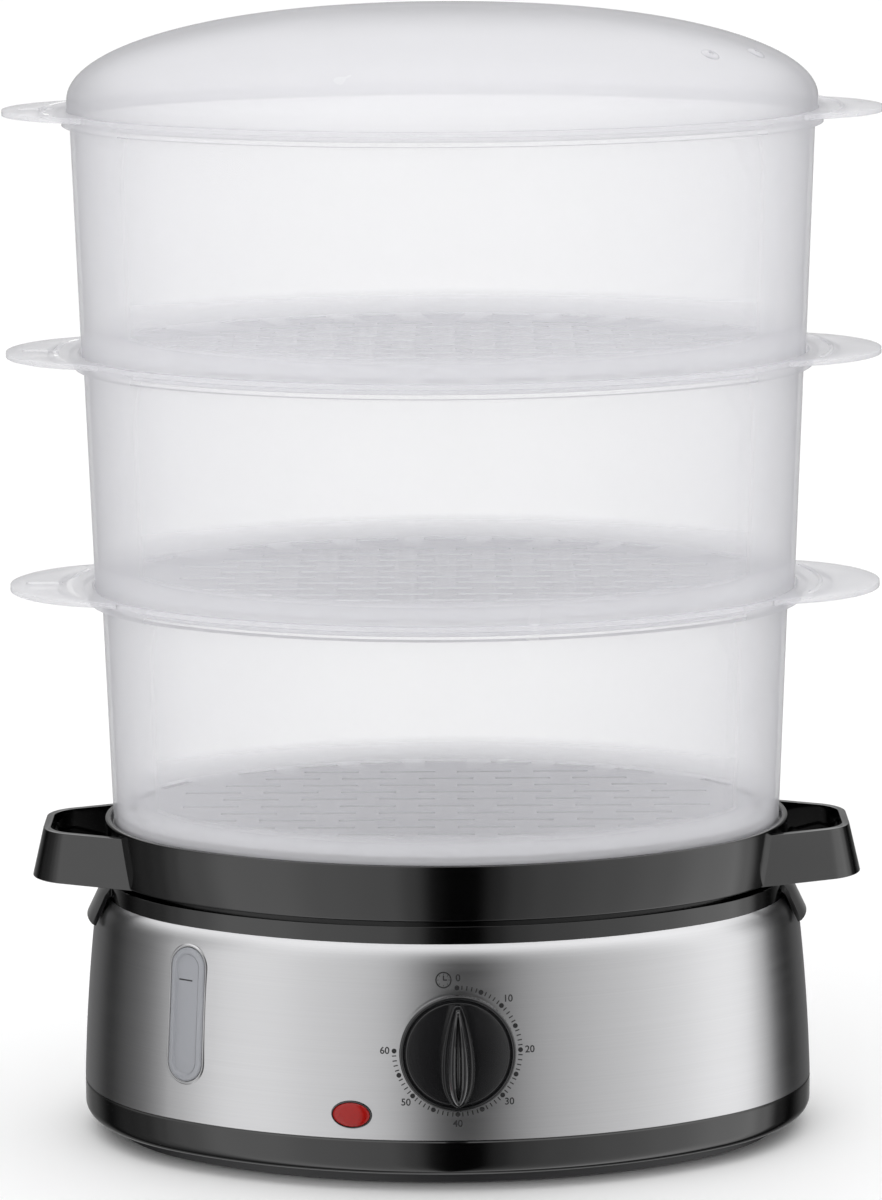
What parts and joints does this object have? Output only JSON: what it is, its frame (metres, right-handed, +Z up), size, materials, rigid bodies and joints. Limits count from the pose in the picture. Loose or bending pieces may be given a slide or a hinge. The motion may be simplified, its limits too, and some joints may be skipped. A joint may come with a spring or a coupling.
{
  "type": "electric food steamer",
  "caption": "Oval tiered food steamer: frosted baskets with ears and a domed lid on a drip tray, over a steel-banded base with a timer knob, lamp and water window.",
  "frame": {"origin": "centre of the oval plan on the plane the feet stand on", "axes": "+Z up through lid, +X along the oval's long axis to the right-hand handle, the timer knob faces -Y"},
  "size_m": [0.3076, 0.2158, 0.4],
  "materials": {
    "clear_frosted": "frosted clear plastic, glossy outside",
    "frosted": "milky translucent plastic, satin",
    "black_gloss": "high gloss",
    "black_matte": "fine texture",
    "knob_gloss": "high gloss",
    "ring_plastic": "satin",
    "brushed_band": "brushed along the band",
    "foot_rubber": "matte",
    "seal_rubber": "matte",
    "seal_red": "matte",
    "gland_rubber": "matte",
    "fastener_steel": "plated",
    "plate_steel": "satin",
    "shaft_steel": "turned",
    "element_metal": "dark sheath",
    "timer_metal": "plated sheet",
    "bell_metal": "plain",
    "ceramic": "smooth",
    "white_plastic": "smooth",
    "lens_red": "clear red",
    "lamp_glass": "clear",
    "window_plastic": "clear, slightly grey",
    "lead_sleeve": "matte"
  },
  "bodies": {
    "base": {"water_tub": "black_gloss", "base_housing": "black_gloss", "steel_band": "brushed_band", "bottom_cover": "black_matte", "rubber_feet": "foot_rubber", "cover_screws": "fastener_steel", "water_window": "window_plastic", "window_seal": "seal_rubber", "heater_plate": "plate_steel", "heater_seal": "seal_red", "plate_nuts": "fastener_steel", "heating_element": "element_metal", "thermostat": "ceramic", "thermostat_clip": "plate_steel", "thermal_fuse": "ceramic", "timer_case": "timer_metal", "timer_bell": "bell_metal", "timer_screws": "fastener_steel", "lamp_lens": "lens_red", "lamp_bezel": "black_gloss", "neon_lamp": "lamp_glass", "terminal_block": "white_plastic", "cord_gland": "gland_rubber", "inner_leads": "lead_sleeve"},
    "timer_knob": {"timer_knob": "knob_gloss", "timer_shaft": "shaft_steel"},
    "drip_tray": {"drip_tray": "black_gloss"},
    "steam_ring": {"steam_ring": "ring_plastic"},
    "lower_basket": {"lower_basket": "frosted"},
    "middle_basket": {"middle_basket": "frosted"},
    "upper_basket": {"upper_basket": "frosted"},
    "lid": {"lid": "clear_frosted"}
  },
  "joints": [
    {"name": "timer_turn", "type": "hinge", "parent": "base", "child": "timer_knob", "pos_m": [0.00333, -0.09882, 0.04982], "axis": [-0.0203, 0.997, -0.0744], "range_deg": [0, 270]},
    {"name": "drip_tray_lift", "type": "slide", "parent": "base", "child": "drip_tray", "axis": [0, 0, 1], "range_m": [0, 0.1]},
    {"name": "steam_ring_lift", "type": "slide", "parent": "base", "child": "steam_ring", "axis": [0, 0, 1], "range_m": [0, 0.075]},
    {"name": "lower_basket_lift", "type": "slide", "parent": "drip_tray", "child": "lower_basket", "axis": [0, 0, 1], "range_m": [0, 0.08]},
    {"name": "middle_basket_lift", "type": "slide", "parent": "lower_basket", "child": "middle_basket", "axis": [0, 0, 1], "range_m": [0, 0.08]},
    {"name": "upper_basket_lift", "type": "slide", "parent": "middle_basket", "child": "upper_basket", "axis": [0, 0, 1], "range_m": [0, 0.08]},
    {"name": "lid_lift", "type": "slide", "parent": "upper_basket", "child": "lid", "axis": [0, 0, 1], "range_m": [0, 0.08]}
  ],
  "couplings": [
    {"joint": "steam_ring_lift", "follows": "drip_tray_lift", "ratio": 0.75}
  ]
}
